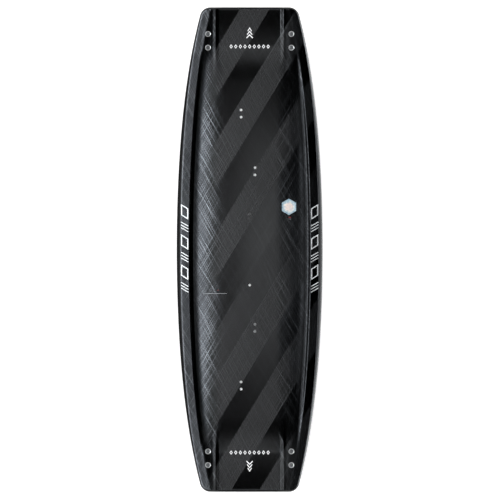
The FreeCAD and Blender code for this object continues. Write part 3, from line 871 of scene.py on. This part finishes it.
plan = sheet(DECK_END, deck_columns, DECK_CORNER, DECK_RADIUS, deck_holes)
skin, skin_faces = shell(*plan, deck_top, lambda x, y: deck_z(x, y) - LAMINATE)
piece("deck_skin", skin, skin_faces, DECK, ("deck_laminate",))

plan = sheet(HALF_LENGTH, base_columns, BASE_CORNER, CORNER_RADIUS, base_holes)
skin, skin_faces = shell(*plan, lambda x, y: base_z(x, y) + LAMINATE, base_bottom)
piece("base_skin", skin, skin_faces, BASE, ("base_laminate",))

# ---------------- rails


def side_station(y):
    """A point of the outline's side, the turn of its outward normal, and the bevel's width there."""
    return float(half_width(y)), y, side_lean(half_width, y), float(bevel_width(y))


def side_stations():
    """Stations of the right rail, from rear to front."""
    front = [side_station(y) for y in spread(0, RAIL_JOINT, 60)]
    rear = [(x, -y, -turn, width) for x, y, turn, width in reversed(front[1:])]
    return rear + front


def tip_stations():
    """Stations of the front tip's rail, from right to left: side, rounded corner and end."""
    cx, cy, lean, y_side = BASE_CORNER
    right = [side_station(y) for y in spread(RAIL_JOINT, y_side, 8)[:-1]]
    for share in spread(1, 0, 15):
        turn = pi / 2 + (lean - pi / 2) * share
        width = BEVEL_END + (float(bevel_width(y_side)) - BEVEL_END) * share
        x, y = cx + CORNER_RADIUS * cos(turn), cy + CORNER_RADIUS * sin(turn)
        right.append((x, y, turn, width))
    for x in spread(cx, 0, 13)[1:]:
        right.append((x, HALF_LENGTH, pi / 2, BEVEL_END))
    left = [(-x, y, pi - turn, width) for x, y, turn, width in reversed(right[:-1])]
    return right + left


BEVEL_SHARES = (0.0, 0.06, 0.14, 0.25, 0.38, 0.52, 0.68, 0.84, 1.0)
BEVEL_BULGE = 0.35
BEVEL_ROUNDING = 0.18


def rail_section(x, y, turn, width):
    """Points round the rail at a station: floor, edge, rounded bevel, and the ledge under the deck skin."""

    def inset_by(inset):
        return x - cos(turn) * inset, y - sin(turn) * inset

    def floor_at(inset):
        return float(base_z(*inset_by(inset))) + LAMINATE

    def ledge_at(inset):
        return float(deck_z(*inset_by(inset))) - LAMINATE

    inner = width + RAIL_INSIDE
    floor = floor_at(0)
    foot = floor + BEVEL_FOOT
    rise = ledge_at(width) - foot
    section = [(inner, floor_at(inner)), (width, floor_at(width)), (0.25, floor)]
    section += [(0.0, floor + 0.2), (0.0, foot - 0.35)]
    for share in BEVEL_SHARES:
        bulged = (1 + BEVEL_BULGE) * share - BEVEL_BULGE * share * share
        sunk = BEVEL_ROUNDING * max(0.0, 1 - share / BEVEL_SHARES[1])
        section.append((width * share + sunk * 0.3, foot + rise * bulged - sunk))
    section += [(inset, ledge_at(inset)) for inset in (width + 2, inner)]
    return [(*inset_by(inset), height) for inset, height in section]


def rail_mesh(stations):
    """The rail's section swept along its stations, closed at both ends."""
    verts, faces = [], []
    for station in stations:
        verts += rail_section(*station)
    count = len(verts) // len(stations)
    for start in range(0, len(verts) - count, count):
        faces += between(start, start + count, count)
    faces.append(list(range(count)))
    faces.append(list(reversed(range(len(verts) - count, len(verts)))))
    return np.array(verts), faces


side_verts, side_faces = rail_mesh(side_stations())
flip = [list(reversed(f)) for f in side_faces]
piece("rail_cap_right", side_verts, side_faces, RAIL, ("rail_right",))
piece("rail_cap_left", side_verts * (-1, 1, 1), flip, RAIL, ("rail_left",))
tip_verts, tip_faces = rail_mesh(tip_stations())
flip = [list(reversed(f)) for f in tip_faces]
piece("tip_cap_front", tip_verts, tip_faces, RAIL, ("tip_rail_front",))
piece("tip_cap_rear", tip_verts * (1, -1, 1), flip, RAIL, ("tip_rail_rear",))

# ---------------- fins and fasteners

# How far a fin has narrowed from root to tip, at shares of its depth
DEPTHS = (0, 0.2, 0.55, 0.83, 1.0)
NARROWED = (0, 0.1, 0.43, 0.74, 1.0)
FIN_NOSE_START = 0.9


def fin_mesh():
    """A symmetrical foil from its foot, let slightly into the base skin, to a rounded tip."""
    stations = [-0.006] + spread(0, FIN_NOSE_START, 16) + [0.93, 0.955, 0.975, 0.99, 0.998]
    verts, faces, sides = [], [], 48
    for depth in stations:
        narrowed = float(np.interp(max(depth, 0), DEPTHS, NARROWED))
        past = max(0.0, (depth - FIN_NOSE_START) / (1 - FIN_NOSE_START))
        nose = sqrt(max(0.0, 1 - past**2))
        length = ROOT_LENGTH + (TIP_LENGTH - ROOT_LENGTH) * narrowed
        thick = ROOT_THICKNESS + (TIP_THICKNESS - ROOT_THICKNESS) * narrowed
        length -= 5.0 * (1 - nose)
        thick *= 0.15 + 0.85 * nose
        for i in range(sides):
            t = 2 * pi * i / sides
            side = sin(t) * abs(sin(t)) ** 0.15
            verts.append((thick * side, length * cos(t), -depth * FIN_DEPTH))
    for start in range(0, len(verts) - sides, sides):
        faces += between(start, start + sides, sides)
    faces.append(list(reversed(range(len(verts) - sides, len(verts)))))
    faces.append(list(range(sides)))
    return np.array(verts), faces


SCREW_PITCH = 1.0
SCREW_CORE = 2.62
INSERT_PITCH = 0.9
INSERT_THREAD = 3.42


def screw_mesh():
    """Countersunk head with a hexagon socket, a threaded shank and a chamfered end.

    Its origin is on top of the head, and the thread is a row of grooves.
    """
    sides = 48
    head, shank = SCREW_HEAD_RADIUS, SCREW_RADIUS
    profile = [(head - 0.45, 0.0), (head - 0.15, -0.08), (head, -0.3), (shank + 0.05, -3.05), (shank, -3.3)]
    z = -4.2
    while z > 1.4 - SCREW_LENGTH:
        profile += [(shank, z), (SCREW_CORE, z - SCREW_PITCH / 2)]
        z -= SCREW_PITCH
    profile += [(2.6, 0.8 - SCREW_LENGTH), (2.2, -SCREW_LENGTH), (0, -SCREW_LENGTH)]
    verts, faces = lathe(profile, sides, close=False)
    verts, faces = [tuple(v) for v in verts], [tuple(reversed(f)) for f in faces]

    def hexagon(scale, height):
        start = len(verts)
        for i in range(sides):
            t = 2 * pi * i / sides
            radius = scale * SOCKET_FLATS / 2 / cos((t % (pi / 3)) - pi / 6)
            verts.append((radius * cos(t), radius * sin(t), height))
        return start

    rings = [0, hexagon(1.12, 0.0), hexagon(1.0, -0.18)]
    rings += [hexagon(1.0, 0.2 - SOCKET_DEPTH), hexagon(0.3, -SOCKET_DEPTH)]
    for outer, inner in zip(rings, rings[1:]):
        faces += between(inner, outer, sides)
    faces.append(tuple(range(rings[-1], rings[-1] + sides)))
    verts = np.array(verts)
    return verts, outward(verts, faces)


# Radius and height round the cup washer's section
WASHER_PROFILE = [(3.4, 0.0), (7.8, 0.0), (8.0, 0.15), (8.0, 0.5), (7.86, 0.8), (7.5, 1.35), (7.1, 1.95)]
WASHER_PROFILE += [(6.8, 2.4), (6.6, 2.56), (6.4, 2.6), (6.15, 2.6), (6.0, 2.5), (4.7, 1.3), (3.5, 0.15)]


def insert_mesh(height):
    """Flanged barrel with a collar through the deck skin and a threaded blind bore."""
    flange, barrel, collar, bore = INSERT_FLANGE, INSERT_BARREL, INSERT_COLLAR, INSERT_BORE
    profile = [(0, 0), (flange - 0.3, 0), (flange, 0.3), (flange, 1.2), (flange - 0.3, 1.5)]
    profile += [(barrel + 0.2, 1.5), (barrel, 1.7), (barrel, height - 1.1), (barrel - 0.1, height - 1.0)]
    profile += [(collar, height - 1.0), (collar, height), (bore + 0.2, height), (bore, height - 0.25)]
    z = height - INSERT_PITCH
    while z > 2.2:
        profile += [(INSERT_THREAD, z), (bore, z - INSERT_PITCH / 2)]
        z -= INSERT_PITCH
    profile += [(bore, 1.7), (bore - 0.5, 1.2), (0, 1.2)]
    verts, faces = lathe(profile, 40, close=False)
    return verts, outward(verts, faces)


# Inserts given the dim and dark copies of the steel, painted reflection standing in for the dimmer things
# they reflect
INSERTS_PAINTED_DIM = {f"pad_insert_rear_inner_{which}": INSERT_PAINTED_DIM for which in "ab"}
INSERTS_PAINTED_DIM["handle_insert_front"] = INSERT_PAINTED_DARK

fin_verts, fin_faces = fin_mesh()
fin_faces = outward(fin_verts, fin_faces)
for end, sy in ENDS.items():
    for side, sx in SIDES.items():
        blade = placed(fin_verts, fin_matrix(sx, sy))
        stands_for = (f"fin_{end}_{side}",)
        piece(f"fin_blade_{end}_{side}", blade, fin_faces, FIN, stands_for)

screw_verts, screw_faces = screw_mesh()
washer_verts, washer_faces = lathe(WASHER_PROFILE, 56)
washer_faces = outward(washer_verts, washer_faces)
for number, (name, matrix, y) in enumerate(SCREWS):
    lift = on_deck(matrix, y)
    seat = matrix @ Matrix.Translation((0, y, lift + WASHER_SEAT))
    head = matrix @ Matrix.Translation((0, y, lift + SCREW_HEAD_LIFT))
    head = head @ Matrix.Rotation(0.4 + 0.7 * number, 4, "Z")
    verts, stands_for = placed(washer_verts, seat), (f"fin_washer_{name}",)
    piece(f"cup_washer_{name}", verts, washer_faces, WASHER, stands_for, angle=50)
    verts, stands_for = placed(screw_verts, head), (f"fin_screw_{name}",)
    piece(f"hex_screw_{name}", verts, screw_faces, SCREW, stands_for, angle=35)

for name, x, y in INSERTS:
    low = max(float(base_z(x, y + way * INSERT_FLANGE)) for way in (-1, 1)) + LAMINATE
    high = min(float(deck_z(x, y + way * INSERT_BARREL)) for way in (-1, 1))
    verts, faces = insert_mesh(high - low)
    # Painted reflection: the listed inserts take the dim and dark copies of the steel
    insert_look = INSERTS_PAINTED_DIM.get(name, INSERT)
    piece(f"{name}_bush", verts + (x, y, low), faces, insert_look, (name,), angle=30)

# ---------------- prints


PRINT_RISE = 0.08
PRINT_DEPTH = 0.1
PRINT_STEP = 2.5


def ribbon(outer, inner, closed):
    """A thin print between two lines of points in plan, laid on the deck."""
    verts, faces = [], []
    for pair in zip(outer, inner):
        for x, y in pair:
            z = float(deck_z(x, y))
            verts += [(x, y, z + PRINT_RISE), (x, y, z - PRINT_DEPTH)]
    count = len(outer)
    for s in range(count if closed else count - 1):
        a, b = 4 * s, 4 * ((s + 1) % count)
        faces += [(a, b, b + 2, a + 2), (a + 1, a + 3, b + 3, b + 1)]
        faces += [(a, a + 1, b + 1, b), (a + 2, b + 2, b + 3, a + 3)]
    if not closed:
        end = 4 * (count - 1)
        faces += [(0, 2, 3, 1), (end, end + 1, end + 3, end + 2)]
    return verts, faces


def offset_line(points, closed, distance):
    """Mitred offset of a line in plan."""
    count = len(points)
    here = [Vector(point) for point in points]
    ways = [(here[(i + 1) % count] - here[i]).normalized() for i in range(count)]
    if not closed:
        ways[-1] = ways[-2]
    out = []
    for i in range(count):
        before = ways[i - 1] if closed or i else ways[0]
        normals = [Vector((-way.y, way.x)) for way in (before, ways[i])]
        middle = (normals[0] + normals[1]).normalized()
        out.append(tuple(here[i] + middle * distance / max(0.35, middle.dot(normals[0]))))
    return out


def print_piece(name, strokes, material, ways=(1, 1)):
    """One print made of strokes: each is (points, closed, width), mirrored by its ways in X and Y."""
    verts, faces = [], []
    for points, closed, width in strokes:
        points = [(x * ways[0], y * ways[1]) for x, y in points]
        sides = [offset_line(points, closed, distance) for distance in (width / 2, -width / 2)]
        lines = ([], [])
        for i in range(len(points) if closed else len(points) - 1):
            j = (i + 1) % len(points)
            count = max(1, ceil(dist(points[i], points[j]) / PRINT_STEP))
            for share in (k / count for k in range(count)):
                for line, side in zip(lines, sides):
                    line.append(tuple(np.array(side[i]) * (1 - share) + np.array(side[j]) * share))
        if not closed:
            for line, side in zip(lines, sides):
                line.append(side[-1])
        more_verts, more_faces = ribbon(*lines, closed)
        start = len(verts)
        verts += more_verts
        faces += [tuple(start + i for i in f) for f in more_faces]
    verts = np.array(verts)
    piece(name, verts, outward(verts, faces), material, angle=30)


def rail_mark():
    """Six marks along the facet: slanted frames, and three slashes after each."""
    first, spacing, half_height = 106, 42.4, 14
    inner, outer, lean = 174.0, 191.4, 5.5
    slash_inner, slash_outer, slash_lean = 172.5, 192.9, 5.9
    strokes = []
    for i in range(6):
        y = first - spacing * i
        if i % 2 == 0:
            low, high = y - half_height, y + half_height
            outline = [(inner, low - lean), (outer, low + lean), (outer, high + lean), (inner, high - lean)]
            strokes.append((outline, True, 2.9))
        else:
            for middle in (y - 8, y, y + 8):
                line = [(slash_inner, middle - slash_lean), (slash_outer, middle + slash_lean)]
                strokes.append((line, False, 2.3))
    return strokes


for side, sx in SIDES.items():
    print_piece(f"rail_marks_{side}", rail_mark(), SILVER, (sx, 1))


def tip_mark():
    """Three stacked chevrons pointing at the tip, and a row of nine small diamonds nearer the middle."""
    chevrons, chevron_height = 594, 9.0
    diamonds, diamond_half, diamond_half_height = 570, 3.4, 4.6
    strokes = []
    for i in range(3):
        y = chevrons + 9.5 * i
        half = 8.6 - 1.6 * i
        strokes.append(([(-half, y), (0, y + chevron_height), (half, y)], False, 2.6 - 0.3 * i))
    for x in spread(-52, 52, 9):
        low, high = diamonds - diamond_half_height, diamonds + diamond_half_height
        outline = [(x - diamond_half, diamonds), (x, high), (x + diamond_half, diamonds), (x, low)]
        strokes.append((outline, True, 1.6))
    return strokes


for end, sy in ENDS.items():
    print_piece(f"tip_marks_{end}", tip_mark(), WHITE, (sy, sy))
print_piece("serial_line", [([(-131, -124), (-64, -123.5)], False, 0.9)], PALE)
print_piece("serial_dot", [([(-90.2, -114), (-87.8, -114)], False, 1.6)], RED)
print_piece("badge_dash_red", [([(109.4, 90.5), (115.6, 90.5)], False, 2.0)], RED)
print_piece("badge_dash_pale", [([(108.5, 86), (116.5, 86)], False, 0.8)], PALE)


# The badge's rings from its rim inwards: half the distance over flats, height over the deck, and which foil
BADGE_PLACE = (110.5, 120.0)
BADGE_SINK = 0.05
BADGE_RISE = 0.23
BADGE_RINGS = [(20.0, -BADGE_SINK, 0), (19.7, 0.25, 0), (15.6, 0.25, 0), (15.3, 0.17, 1), (11.2, 0.17, 1)]
BADGE_RINGS += [(half_flats, BADGE_RISE, 2) for half_flats in (10.9, 8.0, 5.0, 2.5)]


def badge_mesh():
    """A hexagon of foil with stepped rings, lying on the deck."""
    cx, cy = BADGE_PLACE
    sides, verts, faces, picks = 48, [], [], []
    for half_flats, rise, _ in BADGE_RINGS:
        for i in range(sides):
            t = 2 * pi * i / sides
            radius = half_flats / cos(((t + pi / 6) % (pi / 3)) - pi / 6)
            x, y = cx + radius * sin(t + pi / 6), cy + radius * cos(t + pi / 6)
            verts.append((x, y, float(deck_z(x, y)) + rise))
    for ring, (_, _, foil_index) in enumerate(BADGE_RINGS[1:], 1):
        faces += between(ring * sides, (ring - 1) * sides, sides)
        picks += [foil_index] * sides
    top = len(verts) - sides
    verts.append((cx, cy, float(deck_z(cx, cy)) + BADGE_RISE))
    verts.append((cx, cy, float(deck_z(cx, cy)) - BADGE_SINK))
    for i in range(sides):
        j = (i + 1) % sides
        faces.append((top + i, top + j, len(verts) - 2))
        picks.append(2)
        faces.append((j, i, len(verts) - 1))
        picks.append(0)
    return np.array(verts), faces, picks


foils = [FOIL_RIM, FOIL_BAND, FOIL_CORE]
verts, faces, picks = badge_mesh()
piece("foil_badge", verts, outward(verts, faces), foils, ("hex_badge",), picks, angle=30)

# ---------------- CAD nodes that stay in view

# Finishes of the nodes whose names hold these words
KEPT = {"core": (CORE, "core_wood"), "block": (BLOCK, "block_plastic"), "sleeve": (BRASS, "sleeve_brass")}
for name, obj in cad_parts.items():
    for word, (mat, slot_name) in KEPT.items():
        if word in name:
            obj.data.materials.clear()
            obj.data.materials.append(mat)

# ---------------- floor, light and camera


FLOOR_HALF = 40.0
FLOOR_DROP = 0.0004


def make_floor():
    """Plain white paper with a faint glow of its own, just under the fins' tips."""
    mesh = bpy.data.meshes.new("studio_floor")
    corners = [(-FLOOR_HALF, -FLOOR_HALF, 0), (FLOOR_HALF, -FLOOR_HALF, 0)]
    corners += [(FLOOR_HALF, FLOOR_HALF, 0), (-FLOOR_HALF, FLOOR_HALF, 0)]
    mesh.from_pydata(corners, [], [(0, 1, 2, 3)])
    obj = new_object("studio_floor", mesh)
    obj.location.z = -FLOOR_DROP
    glow = {"Emission_Color": (1.0, 1.0, 1.0, 1.0), "Emission_Strength": 0.3}
    mat, bsdf = surface("floor_paper", Roughness=0.9, Specular_IOR_Level=0.0, **glow)
    cloud = noise(place_of(bsdf), scale=0.7)
    drive(bsdf, Base_Color=blend(cloud, (0.93, 0.93, 0.93), (0.95, 0.95, 0.95)))
    mesh.materials.append(mat)


def panels(tree):
    """How bright the studio is in each direction: dx is to the board's right, dy along it, dz up.

    Every panel is a band across dx, brighter or darker towards the tips.
    """
    dx, dy, dz = split(tree.nodes.new("ShaderNodeTexCoord").outputs["Generated"])
    off_middle = calc("ABSOLUTE", dy)

    def band(level, *limits):
        return times(window(dx, *limits), level)

    near = band(ease(off_middle, 0.17, 0.12, 1.9, 5.4), -0.088, -0.126, -0.145, -0.178)
    broad = band(0.70, -0.085, -0.15, -0.46, -0.62)
    strip = band(ease(off_middle, 0.17, 0.12, 2.4, 6.0), -0.29, -0.36, -0.42, -0.50)
    tips = band(ease(off_middle, 0.14, 0.18, 0.0, 1.2), -0.16, -0.21, -0.48, -0.60)
    left = plus(plus(near, broad), plus(strip, tips))
    left = times(left, ease(off_middle, 0.50, 0.30))
    glow = plus(ease(off_middle, 0.16, 0.06, 0.0, 0.9), ease(off_middle, 0.07, 0.02, 0.0, 0.5))
    glow = times(glow, ease(dx, -0.02, 0.035, 1.0, 1.35))
    overhead = band(glow, -0.065, 0.012, 0.050, 0.115)
    right = times(ease(dx, 0.73, 0.92, 0.0, 13.0), ease(off_middle, 0.45, 0.25))
    horizon = ease(dz, 0.36, 0.15, 0.01, 0.4)
    horizon = times(horizon, ease(off_middle, 0.08, 0.24, 0.12, 1.0))
    return plus(plus(left, overhead), plus(right, horizon))


def make_world():
    """White to the camera, even pale light for matt surfaces, and panels for glossy ones to reflect."""
    world = bpy.data.worlds.new("studio")
    world.use_nodes = True
    world.cycles.sampling_method = "NONE"
    tree = world.node_tree
    tree.nodes.clear()

    def light(colour, strength):
        inputs = {"Color": (*colour, 1.0), "Strength": strength}
        return node("Background", inputs, tree).outputs[0]

    def choose(share, first, second):
        return node("MixShader", {0: share, 1: first, 2: second}).outputs[0]

    path = tree.nodes.new("ShaderNodeLightPath").outputs
    even = light((1.0, 1.0, 1.0), 0.95)
    lit = choose(path["Is Glossy Ray"], even, light((0.94, 0.98, 1.0), panels(tree)))
    lit = choose(path["Is Camera Ray"], lit, light((1.0, 1.0, 1.0), 1.0))
    node("OutputWorld", {"Surface": lit})
    bpy.context.scene.world = world


def make_key():
    """A very soft overhead light, a little from the left, that only matt surfaces answer to."""
    light = bpy.data.lights.new("key", "SUN")
    light.energy = 1.7
    light.angle = radians(70)
    obj = new_object("key", light)
    obj.rotation_euler = (radians(-8), radians(-14), 0)
    obj.visible_glossy = False


def make_camera():
    """Straight above the board, its front tip at the top of the frame."""
    # the view is that wide at the height of the deck, and its middle is a little off the board's
    height, deck_height, view_width = 30.0, 0.05, 1.4042
    middle_x, middle_y = 0.001, -0.0013
    data = bpy.data.cameras.new("camera")
    data.sensor_width = 36.0
    data.lens = data.sensor_width * (height - deck_height) / view_width
    data.clip_end = 100.0
    obj = new_object("camera", data)
    obj.location = (middle_x, middle_y, height)
    bpy.context.scene.camera = obj


make_floor()
make_world()
make_key()
make_camera()
bpy.context.scene.view_settings.view_transform = "Standard"
